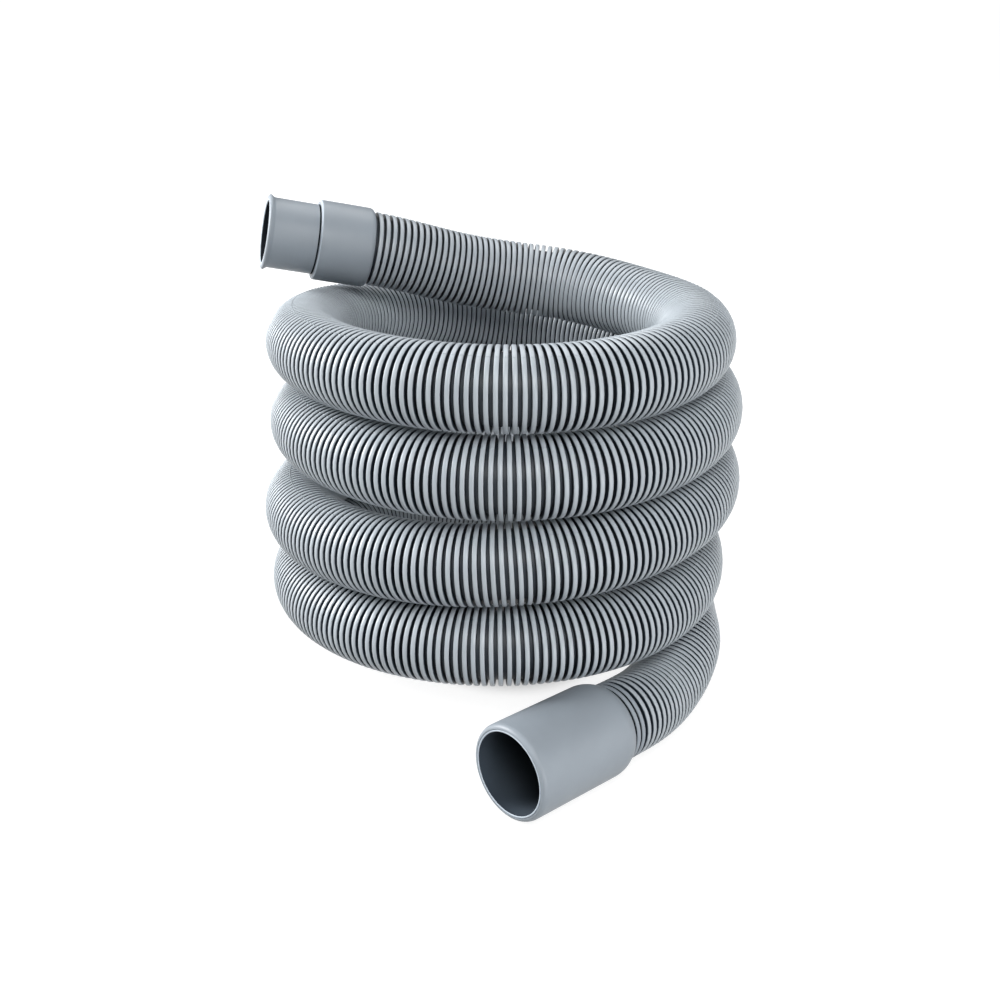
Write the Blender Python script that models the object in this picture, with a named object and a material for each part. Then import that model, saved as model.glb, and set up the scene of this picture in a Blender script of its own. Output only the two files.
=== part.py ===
"""Washing machine drain hose: a corrugated hose laid in a four turn coil, with a stepped cuff that
pushes on the machine's outlet and a wide plain cuff for the waste pipe. Metres, +Z up."""

import bpy
import numpy as np
from mathutils import Euler, Matrix, Vector

for old in list(bpy.data.objects):
    bpy.data.objects.remove(old, do_unlink=True)

MM = 0.001
CLEARANCE = 0.3 * MM  # between pieces that touch

# Hose
HOSE_RADIUS = 13.5 * MM  # over its ribs
HOSE_BORE_RADIUS = 10.5 * MM
NECK_RADIUS = 11.6 * MM  # the plain ends that seat in the cuffs
NECK_LENGTH = 10.0 * MM
HOSE_SIDES = 16
COIL_STEPS = 24  # rings to a turn
KNOT_STEP_DEG = 30.0  # between the points that the coil's curve runs through
TAIL_STEP = 20.0 * MM

# Drain cuff, the wide one
DRAIN_CUFF_RADIUS = 16.2 * MM
DRAIN_CUFF_BORE_RADIUS = 14.3 * MM
DRAIN_CUFF_LENGTH = 49.6 * MM
DRAIN_BORE_DEPTH = 31.0 * MM
DRAIN_SHOULDER_LENGTH = 6.0 * MM
DRAIN_LIP_ROUNDING = 1.0 * MM

# Appliance cuff, the stepped one
SPIGOT_RADIUS = 12.7 * MM
SPIGOT_LENGTH = 18.6 * MM
FLANGE_RADIUS = 13.6 * MM
FLANGE_LENGTH = 2.2 * MM
COLLAR_RADIUS = 14.6 * MM
COLLAR_LENGTH = 20.2 * MM
COLLAR_ROUNDING = 2.0 * MM
STEP_ROUNDING = 0.7 * MM

CUFF_SIDES = 48

# Where each turn's centreline passes the coil's right, back, left and front, from the lowest turn up:
# right reach and height, back height, left reach and height, front height, in mm from the coil's middle
TURNS = (
    (65.3, -64.8, -50.2, 77.7, -41.0, -34.7),
    (64.9, -34.6, -22.3, 79.0, -13.4, -5.2),
    (68.7, -1.4, 5.4, 74.9, 20.0, 24.4),
    (67.6, 26.1, 33.1, 74.6, 48.9, 53.2),
)
TOP_RIGHT = (60.8, 53.2)
FRONT_REACH = 71.8
BACK_REACH = 81.1

# The hose's two ends, off the coil. Points and mouths are in mm, directions in degrees
DRAIN_TAIL = ((48.5, -53.6, -65.6), (63.7, -17.1, -63.8))
DRAIN_MOUTH = (-2.9, -106.4, -61.4)
DRAIN_TURN_DEG, DRAIN_RISE_DEG = 42.8, -2.2
APPLIANCE_TAIL = ((46.0, 29.8, 53.2), (22.3, 46.2, 55.8), (-20.0, 45.8, 62.3))
APPLIANCE_MOUTH = (-91.9, 28.4, 80.1)
APPLIANCE_TURN_DEG, APPLIANCE_RISE_DEG = 13.7, -11.8

# How the coil lies on the floor: leant on its drain cuff, then turned
LEAN_Y_DEG, LEAN_X_DEG, TURN_Z_DEG = -7.0, -4.1, -40.6


def smooth_slopes(places, points, first=None, last=None):
    """Slopes of the smoothest curve through the points. An end with no slope given runs out straight."""
    count = len(places)
    gaps = np.diff(places)
    rises = np.diff(points, axis=0) / gaps[:, None]
    matrix = np.zeros((count, count))
    right = np.zeros_like(points)
    for i in range(1, count - 1):
        matrix[i, i - 1 : i + 2] = gaps[i], 2 * (gaps[i - 1] + gaps[i]), gaps[i - 1]
        right[i] = 3 * (gaps[i] * rises[i - 1] + gaps[i - 1] * rises[i])
    for end, beside, slope, rise in ((0, 1, first, rises[0]), (count - 1, count - 2, last, rises[-1])):
        matrix[end, end] = 2 if slope is None else 1
        matrix[end, beside] = 1 if slope is None else 0
        right[end] = 3 * rise if slope is None else slope
    return np.linalg.solve(matrix, right)


def curve_at(places, points, slopes, wanted):
    """Points and directions of that curve at the wanted places."""
    i = np.clip(np.searchsorted(places, wanted, side="right") - 1, 0, len(places) - 2)
    gap = (places[i + 1] - places[i])[:, None]
    t = (np.asarray(wanted) - places[i])[:, None] / gap
    a, b, m, n = points[i], points[i + 1], slopes[i] * gap, slopes[i + 1] * gap
    at = (2 * t**3 - 3 * t**2 + 1) * a + (t**3 - 2 * t**2 + t) * m + (3 * t**2 - 2 * t**3) * b + (t**3 - t**2) * n
    way = ((6 * t**2 - 6 * t) * (a - b) + (3 * t**2 - 4 * t + 1) * m + (3 * t**2 - 2 * t) * n) / gap
    return at, way / np.linalg.norm(way, axis=1)[:, None]


def heading(turn, rise):
    """The direction from a cuff's mouth into the hose."""
    turn, rise = np.radians(turn), np.radians(rise)
    return np.array([np.cos(turn) * np.cos(rise), np.sin(turn) * np.cos(rise), np.sin(rise)])


def coil_points(step):
    """The coil's centreline every so many degrees, from its lowest right to its top right."""
    reach_height = []
    for right, right_height, back_height, left, left_height, front_height in TURNS:
        reach_height += [(right, right_height), (BACK_REACH, back_height)]
        reach_height += [(left, left_height), (FRONT_REACH, front_height)]
    reach_height = np.array(reach_height + [TOP_RIGHT]) * MM
    quarters = 90.0 * np.arange(len(reach_height))
    slopes = smooth_slopes(quarters, reach_height)
    angles = np.arange(0, quarters[-1] + 0.5 * step, step)
    polar, _ = curve_at(quarters, reach_height, slopes, angles)
    angles = np.radians(angles)
    return np.stack([polar[:, 0] * np.cos(angles), polar[:, 0] * np.sin(angles), polar[:, 1]], 1)


def as_it_lies(points):
    """Turns points or directions from the coil's own frame to the way it lies on the floor."""
    lean = Euler((np.radians(LEAN_X_DEG), 0, np.radians(TURN_Z_DEG))).to_matrix()
    lean = lean @ Euler((0, np.radians(LEAN_Y_DEG), 0)).to_matrix()
    return np.asarray(points) @ np.array(lean).T


def cuff_axis(mouth, turn, rise):
    """A cuff's mouth centre and its direction into the hose, on the floor."""
    return as_it_lies(np.array(mouth) * MM), as_it_lies(heading(turn, rise))


def hose_route(drain_length, appliance_length):
    """Centreline points and directions of the hose, from the drain cuff's end to the other cuff's."""
    drain_mouth, drain_way = cuff_axis(DRAIN_MOUTH, DRAIN_TURN_DEG, DRAIN_RISE_DEG)
    appliance_mouth, appliance_way = cuff_axis(APPLIANCE_MOUTH, APPLIANCE_TURN_DEG, APPLIANCE_RISE_DEG)
    start = drain_mouth + drain_way * drain_length
    end = appliance_mouth + appliance_way * appliance_length
    coil = coil_points(KNOT_STEP_DEG)
    tails = [as_it_lies(np.array(tail) * MM) for tail in (DRAIN_TAIL, APPLIANCE_TAIL)]
    knots = np.concatenate([[start], tails[0], as_it_lies(coil), tails[1], [end]])
    places = np.concatenate([[0], np.cumsum(np.linalg.norm(np.diff(knots, axis=0), axis=1))])
    slopes = smooth_slopes(places, knots, drain_way, -appliance_way)
    first, last = len(tails[0]) + 1, len(tails[0]) + len(coil)
    wanted = [0.0]
    for i in range(len(knots) - 1):
        on_coil = first <= i < last
        steps = COIL_STEPS * KNOT_STEP_DEG / 360 if on_coil else (places[i + 1] - places[i]) / TAIL_STEP
        wanted += list(np.linspace(places[i], places[i + 1], max(round(steps), 1) + 1)[1:])
    return curve_at(places, knots, slopes, wanted)


def plastic(name, colour, roughness):
    """A plain plastic."""
    material = bpy.data.materials.new(name)
    material.use_nodes = True
    shader = material.node_tree.nodes["Principled BSDF"]
    shader.inputs["Base Color"].default_value = (*colour, 1)
    shader.inputs["Roughness"].default_value = roughness
    material.diffuse_color = (*colour, 1)
    return material


def ringed_solid(name, rings, material):
    """One closed solid from rings of points, each joined to the next and the last to the first."""
    sides = len(rings[0])
    vertices = [tuple(point) for ring in rings for point in ring]
    faces = []
    for i in range(len(rings)):
        j = (i + 1) % len(rings)
        for k in range(sides):
            n = (k + 1) % sides
            faces.append((i * sides + k, j * sides + k, j * sides + n, i * sides + n))
    mesh = bpy.data.meshes.new(name)
    mesh.from_pydata(vertices, [], faces)
    mesh.validate()
    mesh.materials.append(material)
    mesh.shade_smooth()
    mesh.set_sharp_from_angle(angle=np.radians(35))
    piece = bpy.data.objects.new(name, mesh)
    bpy.context.scene.collection.objects.link(piece)
    return piece


def ring(centre, way, radius, sides):
    """Points round a centreline, level with the floor at the first one."""
    side = Vector(way).cross(Vector((0, 0, 1))).normalized()
    up = side.cross(Vector(way))
    turns = np.linspace(0, 2 * np.pi, sides, endpoint=False)
    return np.array(centre) + radius * (np.outer(np.cos(turns), side) + np.outer(np.sin(turns), up))


def make_hose(material, drain_length, appliance_length):
    """The hose: ribs' outside, bore, and a plain neck at each end that seats in its cuff."""
    centres, ways = hose_route(drain_length, appliance_length)
    shoulders = centres[0] + ways[0] * CLEARANCE, centres[-1] - ways[-1] * CLEARANCE
    tips = centres[0] - ways[0] * NECK_LENGTH, centres[-1] + ways[-1] * NECK_LENGTH
    outside = [(tips[0], ways[0], NECK_RADIUS), (shoulders[0], ways[0], NECK_RADIUS)]
    outside.append((shoulders[0], ways[0], HOSE_RADIUS))
    outside += [(centre, way, HOSE_RADIUS) for centre, way in zip(centres[1:-1], ways[1:-1])]
    outside += [(shoulders[1], ways[-1], HOSE_RADIUS), (shoulders[1], ways[-1], NECK_RADIUS)]
    outside.append((tips[1], ways[-1], NECK_RADIUS))
    inside = [(tips[0], ways[0], HOSE_BORE_RADIUS)]
    inside += [(centre, way, HOSE_BORE_RADIUS) for centre, way in zip(centres[1:-1], ways[1:-1])]
    inside.append((tips[1], ways[-1], HOSE_BORE_RADIUS))
    rings = [ring(*spec, HOSE_SIDES) for spec in outside + inside[::-1]]
    return ringed_solid("corrugated_hose", rings, material)


def rounded(centre_along, centre_out, radius, start, end, steps=4):
    """A quarter or less of a circle in a cuff's section, as (along, out) pairs."""
    angles = np.radians(np.linspace(start, end, steps + 1))
    return [(centre_along + radius * np.cos(a), centre_out + radius * np.sin(a)) for a in angles]


def turned_cuff(name, section, mouth, way, material):
    """A cuff turned about its axis, from its section as (along from the mouth, out from the axis)."""
    rings = [ring(mouth + way * along, way, out, CUFF_SIDES) for along, out in section]
    return ringed_solid(name, rings, material)


def drain_cuff_section():
    """The wide cuff: lip, plain barrel, a shoulder down to the hose, its socket and its bore."""
    lip, end = DRAIN_LIP_ROUNDING, DRAIN_CUFF_LENGTH
    barrel_end = end - DRAIN_SHOULDER_LENGTH
    socket_radius = NECK_RADIUS + CLEARANCE
    socket_floor = end - NECK_LENGTH - CLEARANCE
    section = rounded(lip, DRAIN_CUFF_RADIUS - lip, lip, 180, 90)
    section += [(barrel_end, DRAIN_CUFF_RADIUS)]
    section += [(barrel_end + 0.4 * DRAIN_SHOULDER_LENGTH, DRAIN_CUFF_RADIUS - 0.2 * (DRAIN_CUFF_RADIUS - HOSE_RADIUS))]
    section += [(end, HOSE_RADIUS), (end, socket_radius), (socket_floor, socket_radius)]
    section += [(socket_floor, HOSE_BORE_RADIUS), (socket_floor - CLEARANCE * 2, HOSE_BORE_RADIUS)]
    return section + [(DRAIN_BORE_DEPTH, DRAIN_CUFF_BORE_RADIUS), (0, DRAIN_CUFF_BORE_RADIUS)]


def appliance_cuff_section():
    """The stepped cuff: flange, spigot, thicker collar, the hose's socket and its bore."""
    end = SPIGOT_LENGTH + COLLAR_LENGTH
    socket_radius = NECK_RADIUS + CLEARANCE
    socket_floor = end - NECK_LENGTH - CLEARANCE
    edge = 0.4 * (FLANGE_RADIUS - SPIGOT_RADIUS)
    section = [(0, FLANGE_RADIUS - edge), (edge, FLANGE_RADIUS), (0.6 * FLANGE_LENGTH, FLANGE_RADIUS)]
    section += [(FLANGE_LENGTH, SPIGOT_RADIUS), (SPIGOT_LENGTH, SPIGOT_RADIUS)]
    section += rounded(SPIGOT_LENGTH + STEP_ROUNDING, COLLAR_RADIUS - STEP_ROUNDING, STEP_ROUNDING, 180, 90, 3)
    section += rounded(end - COLLAR_ROUNDING, COLLAR_RADIUS - COLLAR_ROUNDING, COLLAR_ROUNDING, 90, 0)
    section += [(end, socket_radius), (socket_floor, socket_radius), (socket_floor, HOSE_BORE_RADIUS)]
    return section + [(0, HOSE_BORE_RADIUS)]


def stand_on_floor(pieces):
    """Puts the origin under the middle of the pieces, on the floor."""
    corners = np.array([tuple(vertex.co) for piece in pieces for vertex in piece.data.vertices])
    low, high = corners.min(0), corners.max(0)
    shift = Matrix.Translation((-(low[0] + high[0]) / 2, -(low[1] + high[1]) / 2, -low[2]))
    for piece in pieces:
        piece.data.transform(shift)


def main():
    """Builds the hose and its two cuffs."""
    ribbed = plastic("hose_plastic", (0.26, 0.28, 0.30), 0.45)
    moulded = plastic("cuff_plastic", (0.33, 0.35, 0.38), 0.4)
    appliance_length = SPIGOT_LENGTH + COLLAR_LENGTH
    pieces = [make_hose(ribbed, DRAIN_CUFF_LENGTH, appliance_length)]
    mouth, way = cuff_axis(DRAIN_MOUTH, DRAIN_TURN_DEG, DRAIN_RISE_DEG)
    pieces.append(turned_cuff("drain_cuff", drain_cuff_section(), mouth, way, moulded))
    mouth, way = cuff_axis(APPLIANCE_MOUTH, APPLIANCE_TURN_DEG, APPLIANCE_RISE_DEG)
    pieces.append(turned_cuff("appliance_cuff", appliance_cuff_section(), mouth, way, moulded))
    stand_on_floor(pieces)


main()
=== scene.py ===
"""Washing machine drain hose, dressed: the ribbed hose in its coil, the stepped cuff and the wide cuff.

Metres, +Z up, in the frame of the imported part.
"""

from __future__ import annotations

import logging
from dataclasses import dataclass, field
from enum import Enum
from typing import Any

import bpy
import numpy as np
from mathutils import Euler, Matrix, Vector


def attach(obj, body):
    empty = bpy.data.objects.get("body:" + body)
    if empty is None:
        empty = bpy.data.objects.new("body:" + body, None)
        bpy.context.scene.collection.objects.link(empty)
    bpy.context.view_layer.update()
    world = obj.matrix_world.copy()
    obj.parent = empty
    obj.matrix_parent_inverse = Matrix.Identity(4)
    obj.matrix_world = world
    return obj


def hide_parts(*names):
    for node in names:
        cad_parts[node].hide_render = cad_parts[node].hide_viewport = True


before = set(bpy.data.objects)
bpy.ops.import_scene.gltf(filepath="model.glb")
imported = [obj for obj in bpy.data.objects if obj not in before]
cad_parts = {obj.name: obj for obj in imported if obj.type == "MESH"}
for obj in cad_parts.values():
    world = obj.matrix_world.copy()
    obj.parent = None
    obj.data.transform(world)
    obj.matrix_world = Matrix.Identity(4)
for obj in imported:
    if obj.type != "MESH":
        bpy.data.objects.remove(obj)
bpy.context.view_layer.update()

LOG = logging.getLogger("drain_hose")
MM = 0.001
TOUCH = 0.01 * MM  # how near to a named radius a point still counts as on it

# Points of a cuff's section: along its axis from the mouth, and out from the axis
Section = list[tuple[float, float]]


class Grain(Enum):
    """How the skin of a plastic was formed: the size of its fine texture, and how detailed it is."""

    MOULDED = (0.45 * MM, 2)
    BLOWN = (1.1 * MM, 3)
    INNER = (1.8 * MM, 2)


class CornerFacing(Enum):
    """Which end of a cuff a section's rounded corner faces."""

    MOUTH = "mouth"
    REAR = "rear"


# Node graphs


class Graph:
    """A node tree in the making: adds nodes, and links or sets their inputs in one call."""

    def __init__(self, tree: bpy.types.NodeTree) -> None:
        """Starts from an empty tree."""
        self.tree = tree
        tree.nodes.clear()

    def add(self, kind: str, inputs: dict[str | int, Any] | None = None, **options: Any) -> bpy.types.Node:
        """Adds one node.

        Args:
            kind: the node's Blender type.
            inputs: a value or an output socket for each input, by its name or number.
            options: the node's own settings, set before its inputs.

        Returns:
            The new node.
        """
        node = self.tree.nodes.new(kind)
        for name, value in options.items():
            setattr(node, name, value)
        for key, value in (inputs or {}).items():
            socket = node.inputs[key]
            if isinstance(value, bpy.types.NodeSocket):
                self.tree.links.new(value, socket)
            else:
                socket.default_value = value
        return node

    def maths(self, operation: str, *values: Any) -> bpy.types.NodeSocket:
        """Adds a Math node and returns its output."""
        return self.add("ShaderNodeMath", dict(enumerate(values)), operation=operation).outputs[0]

    def vector(self, x: Any, y: Any, z: Any) -> bpy.types.NodeSocket:
        """Adds a Combine XYZ node and returns its output."""
        return self.add("ShaderNodeCombineXYZ", {0: x, 1: y, 2: z}).outputs[0]

    def colour(self, red: Any, green: Any, blue: Any) -> bpy.types.NodeSocket:
        """Adds a Combine Color node and returns its output."""
        return self.add("ShaderNodeCombineColor", {0: red, 1: green, 2: blue}).outputs[0]

    def attribute(self, name: str) -> bpy.types.NodeSocket:
        """Adds an Attribute node of a shader and returns the number that it reads."""
        return self.add("ShaderNodeAttribute", attribute_name=name).outputs["Fac"]

    def remap(self, value: Any, given: tuple[float, float], wanted: tuple[float, float],
              eased: bool = False) -> bpy.types.NodeSocket:
        """Adds a Map Range node.

        Args:
            value: the number that is mapped.
            given: the range that it is taken from.
            wanted: the range that it is brought to.
            eased: whether it starts and ends softly.

        Returns:
            The node's output.
        """
        inputs = {0: value, 1: given[0], 2: given[1], 3: wanted[0], 4: wanted[1]}
        kind = "SMOOTHSTEP" if eased else "LINEAR"
        return self.add("ShaderNodeMapRange", inputs, interpolation_type=kind).outputs[0]

    def from_origin(self, place: bpy.types.NodeSocket) -> bpy.types.NodeSocket:
        """Adds a Vector Math node and returns the place's distance from the origin."""
        return self.add("ShaderNodeVectorMath", {0: place}, operation="LENGTH").outputs["Value"]


# Finishes


@dataclass(frozen=True)
class Plastic:
    """A satin thermoplastic: its colour, its cloudiness, and the grain of its skin.

    The roughness goes down by shinier and up by duller in its patches. Painted light lightens a bore up to
    mouth_reach of the cuff's length, and a painted highlight lightens the fine moulded edges. Painted shade
    darkens a rib's root, and fades to the plastic's own colour over a part of the rib's height.
    """

    name: str
    colour: tuple[float, float, float]
    roughness: float
    grain: Grain
    gloss: float = 0.5
    refraction: float = 1.49
    relief: float = 0.01 * MM
    cloud: float = 0.035
    cloud_size: float = 14 * MM
    cloud_detail: float = 3
    patch_size: float = 6 * MM
    patch_detail: float = 2
    shinier: float = 0.04
    duller: float = 0.05
    noise_range: tuple[float, float] = (0.3, 0.7)
    noise_roughness: float = 0.55
    rib_spread: float = 0.0
    # painted shade: the dark colour of a rib's root, and the part of its height over which it fades
    root_painted_shade: tuple[float, float, float] | None = None
    root_shade_range: tuple[float, float] = (0.8, 0.98)
    # painted light that lightens a bore towards its mouth, and how far in it reaches
    mouth_painted_light: float = 1.0
    mouth_reach: float = 0.4
    # painted highlight on the fine moulded edges
    edge_painted_highlight: float = 1.0

    def material(self) -> bpy.types.Material:
        """Builds the finish.

        Returns:
            A material on a Principled shader, with its colour, roughness and bump from its nodes.
        """
        material = bpy.data.materials.new(self.name)
        material.use_nodes = True
        material.diffuse_color = (*self.colour, 1)
        graph = Graph(material.node_tree)
        place = graph.add("ShaderNodeTexCoord").outputs["Object"]
        shader = graph.add("ShaderNodeBsdfPrincipled", {
            "Base Color": self._colour(graph, place), "Roughness": self._roughness(graph, place),
            "IOR": self.refraction, "Specular IOR Level": self.gloss, "Normal": self._relief(graph, place),
        })
        graph.add("ShaderNodeOutputMaterial", {"Surface": shader.outputs[0]})
        return material

    def _noise(self, graph: Graph, place: bpy.types.NodeSocket, size: float,
               detail: float) -> bpy.types.NodeSocket:
        """Adds a noise whose blotches are about that size in metres, and returns its value."""
        inputs = {"Vector": place, "Scale": 1 / size, "Detail": detail, "Roughness": self.noise_roughness}
        return graph.add("ShaderNodeTexNoise", inputs).outputs[0]

    def _tone(self, graph: Graph, place: bpy.types.NodeSocket) -> bpy.types.NodeSocket:
        """Adds the nodes of the tone: clouds, each rib's own shade, painted light at the bore's mouth and a
        painted highlight on the fine edges.

        Args:
            graph: the material's graph.
            place: object coordinates.

        Returns:
            The socket of the number that the colour is multiplied by.
        """
        cloud = self._noise(graph, place, self.cloud_size, self.cloud_detail)
        tone = graph.remap(cloud, self.noise_range, (1 - self.cloud, 1 + self.cloud))
        if self.rib_spread:
            spread = (1 - self.rib_spread, 1 + self.rib_spread)
            tone = graph.maths("MULTIPLY", tone, graph.remap(graph.attribute("rib_tone"), (0, 1), spread))
        # painted light: the bore is lighter towards its mouth
        if self.mouth_painted_light != 1:
            depth, fade = graph.attribute("depth"), (self.mouth_painted_light, 1)
            lit = graph.remap(depth, (0, self.mouth_reach), fade, eased=True)
            tone = graph.maths("MULTIPLY", tone, lit)
        # painted highlight: the fine moulded edges are made paler
        if self.edge_painted_highlight != 1:
            highlight_lift = graph.remap(graph.attribute("edge"), (0, 1), (1, self.edge_painted_highlight))
            tone = graph.maths("MULTIPLY", tone, highlight_lift)
        return tone

    def _colour(self, graph: Graph, place: bpy.types.NodeSocket) -> bpy.types.NodeSocket:
        """Adds the nodes of the colour: its tone, and painted shade at the roots between ribs.

        Args:
            graph: the material's graph.
            place: object coordinates.

        Returns:
            The colour's socket.
        """
        inputs = {0: graph.colour(*self.colour), "Scale": self._tone(graph, place)}
        colour = graph.add("ShaderNodeVectorMath", inputs, operation="SCALE").outputs[0]
        # painted shade: each rib turns dark towards its root
        if self.root_painted_shade:
            shade_fade = graph.remap(graph.attribute("rib_height"), self.root_shade_range, (0, 1), eased=True)
            mix = {"Factor": shade_fade, 4: graph.vector(*self.root_painted_shade), 5: colour}
            colour = graph.add("ShaderNodeMix", mix, data_type="VECTOR").outputs[1]
        return colour

    def _roughness(self, graph: Graph, place: bpy.types.NodeSocket) -> bpy.types.NodeSocket:
        """Adds the patches of a skin that is a little shinier in some places.

        Args:
            graph: the material's graph.
            place: object coordinates.

        Returns:
            The roughness's socket.
        """
        patch = self._noise(graph, place, self.patch_size, self.patch_detail)
        span = self.roughness - self.shinier, self.roughness + self.duller
        return graph.remap(patch, self.noise_range, span)

    def _relief(self, graph: Graph, place: bpy.types.NodeSocket) -> bpy.types.NodeSocket:
        """Adds the fine grain of the skin.

        Args:
            graph: the material's graph.
            place: object coordinates.

        Returns:
            The normal's socket.
        """
        fine = self._noise(graph, place, *self.grain.value)
        bump = {"Strength": 1.0, "Distance": self.relief, "Height": fine}
        return graph.add("ShaderNodeBump", bump).outputs[0]


@dataclass(frozen=True)
class FinishSet:
    """The plastics of the part, and the dark colours that paint shade in its bores, grooves and between its
    ribs.
    """

    # the cuffs' plastic, with a painted highlight on the fine moulded edges
    cuff: Plastic = Plastic(
        "satin_cuff_plastic", (0.27, 0.306, 0.344), 0.46, Grain.MOULDED, relief=0.006 * MM, edge_painted_highlight=1.7,
    )
    # the bores: dark colours of painted shade; the wide bore is lightened towards its mouth by painted light
    wide_bore: Plastic = Plastic(
        "wide_bore_painted_shade", (0.012, 0.016, 0.021), 0.65, Grain.INNER, gloss=0.3, mouth_painted_light=3.6,
    )
    narrow_bore: Plastic = Plastic("narrow_bore_painted_shade", (0.01, 0.013, 0.018), 0.8, Grain.INNER, gloss=0.1)
    # the ribs' plastic, with painted shade turning each rib dark towards its root
    ribs: Plastic = Plastic(
        "ribbed_hose_plastic", (0.385, 0.426, 0.462), 0.38, Grain.BLOWN, relief=0.008 * MM, cloud=0.03,
        rib_spread=0.03, root_painted_shade=(0.013, 0.02, 0.03),
    )
    # the hose's wall: a dark colour of painted shade, between the ribs and in the bore
    wall: Plastic = Plastic("hose_wall_painted_shade", (0.02, 0.028, 0.038), 0.55, Grain.BLOWN)


@dataclass(frozen=True)
class FloorFinish:
    """The pale floor: a plain grey to the light, and a glowing white with soft shadows to the camera.

    The glow rises to full with the distance from the middle, and a painted shadow holds it back inside the
    coil, where it also darkens the floor's soft diffuse share.
    """

    name: str = "pale_floor"
    grey: float = 0.14
    shadow_share: float = 0.3
    glow: tuple[float, float] = (0.84, 1.0)
    glow_reach: tuple[float, float] = (0.15, 0.6)
    # painted shadow inside the coil: how much glow is left, and the distances over which it fades
    coil_painted_shadow: tuple[float, float] = (0.08, 1.0)
    coil_shadow_reach: tuple[float, float] = (0.03, 0.05)

    def material(self) -> bpy.types.Material:
        """Builds the finish.

        Returns:
            A material that tells by the kind of ray whether the floor is seen or only lit.
        """
        material = bpy.data.materials.new(self.name)
        material.use_nodes = True
        graph = Graph(material.node_tree)
        path = graph.add("ShaderNodeLightPath").outputs
        seen = graph.maths("MAXIMUM", path["Is Camera Ray"], path["Is Glossy Ray"])
        seen = graph.maths("MAXIMUM", seen, path["Is Transmission Ray"])
        plain = graph.add("ShaderNodeBsdfDiffuse", {"Color": (self.grey, self.grey, self.grey, 1)}).outputs[0]
        away = graph.from_origin(graph.add("ShaderNodeTexCoord").outputs["Object"])
        strength = graph.remap(away, self.glow_reach, self.glow, eased=True)
        # painted shadow: the glow and the soft diffuse colour are darkened inside the coil
        shade = graph.remap(away, self.coil_shadow_reach, self.coil_painted_shadow, eased=True)
        strength = graph.maths("MULTIPLY", strength, shade)
        bounce = graph.maths("MULTIPLY", shade, self.shadow_share)
        soft = graph.add("ShaderNodeBsdfDiffuse", {"Color": graph.colour(bounce, bounce, bounce)}).outputs[0]
        glow = graph.add("ShaderNodeEmission", {"Color": (1, 1, 1, 1), "Strength": strength}).outputs[0]
        shown = graph.add("ShaderNodeAddShader", {0: soft, 1: glow}).outputs[0]
        mixed = graph.add("ShaderNodeMixShader", {0: seen, 1: plain, 2: shown}).outputs[0]
        graph.add("ShaderNodeOutputMaterial", {"Surface": mixed})
        return material


# The hose's way


def smooth_slopes(places: np.ndarray, points: np.ndarray, first: np.ndarray | None = None,
                  last: np.ndarray | None = None) -> np.ndarray:
    """Slopes of the smoothest curve through the points.

    Args:
        places: where along the curve each point lies.
        points: the points.
        first: the slope at the first point, or None where it runs out straight.
        last: the slope at the last point, or None.

    Returns:
        One slope for each point.
    """
    count = len(places)
    gaps = np.diff(places)
    rises = np.diff(points, axis=0) / gaps[:, None]
    matrix = np.zeros((count, count))
    right = np.zeros_like(points)
    for i in range(1, count - 1):
        matrix[i, i - 1 : i + 2] = gaps[i], 2 * (gaps[i - 1] + gaps[i]), gaps[i - 1]
        right[i] = 3 * (gaps[i] * rises[i - 1] + gaps[i - 1] * rises[i])
    for end, beside, slope, rise in ((0, 1, first, rises[0]), (count - 1, count - 2, last, rises[-1])):
        matrix[end, end] = 2 if slope is None else 1
        matrix[end, beside] = 1 if slope is None else 0
        right[end] = 3 * rise if slope is None else slope
    return np.linalg.solve(matrix, right)


def curve_at(places: np.ndarray, points: np.ndarray, slopes: np.ndarray,
             wanted: np.ndarray) -> tuple[np.ndarray, np.ndarray]:
    """The smooth curve's points and directions at the wanted places.

    Args:
        places: where along the curve each given point lies.
        points: the given points.
        slopes: their slopes.
        wanted: the places asked for.

    Returns:
        The points, and the directions at them.
    """
    i = np.clip(np.searchsorted(places, wanted, side="right") - 1, 0, len(places) - 2)
    gap = (places[i + 1] - places[i])[:, None]
    t = (np.asarray(wanted) - places[i])[:, None] / gap
    a, b, m, n = points[i], points[i + 1], slopes[i] * gap, slopes[i + 1] * gap
    at = (2 * t**3 - 3 * t**2 + 1) * a + (t**3 - 2 * t**2 + t) * m
    at = at + (3 * t**2 - 2 * t**3) * b + (t**3 - t**2) * n
    way = ((6 * t**2 - 6 * t) * (a - b) + (3 * t**2 - 4 * t + 1) * m + (3 * t**2 - 2 * t) * n) / gap
    return at, way / np.linalg.norm(way, axis=1)[:, None]


@dataclass(frozen=True)
class CuffPlace:
    """Where a cuff lies: its mouth in mm of the coil's own frame, and its direction in degrees."""

    mouth: tuple[float, float, float]
    turn: float
    rise: float
    length: float

    def heading(self) -> np.ndarray:
        """The direction from the mouth into the hose."""
        turn, rise = np.radians(self.turn), np.radians(self.rise)
        return np.array([np.cos(turn) * np.cos(rise), np.sin(turn) * np.cos(rise), np.sin(rise)])


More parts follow.
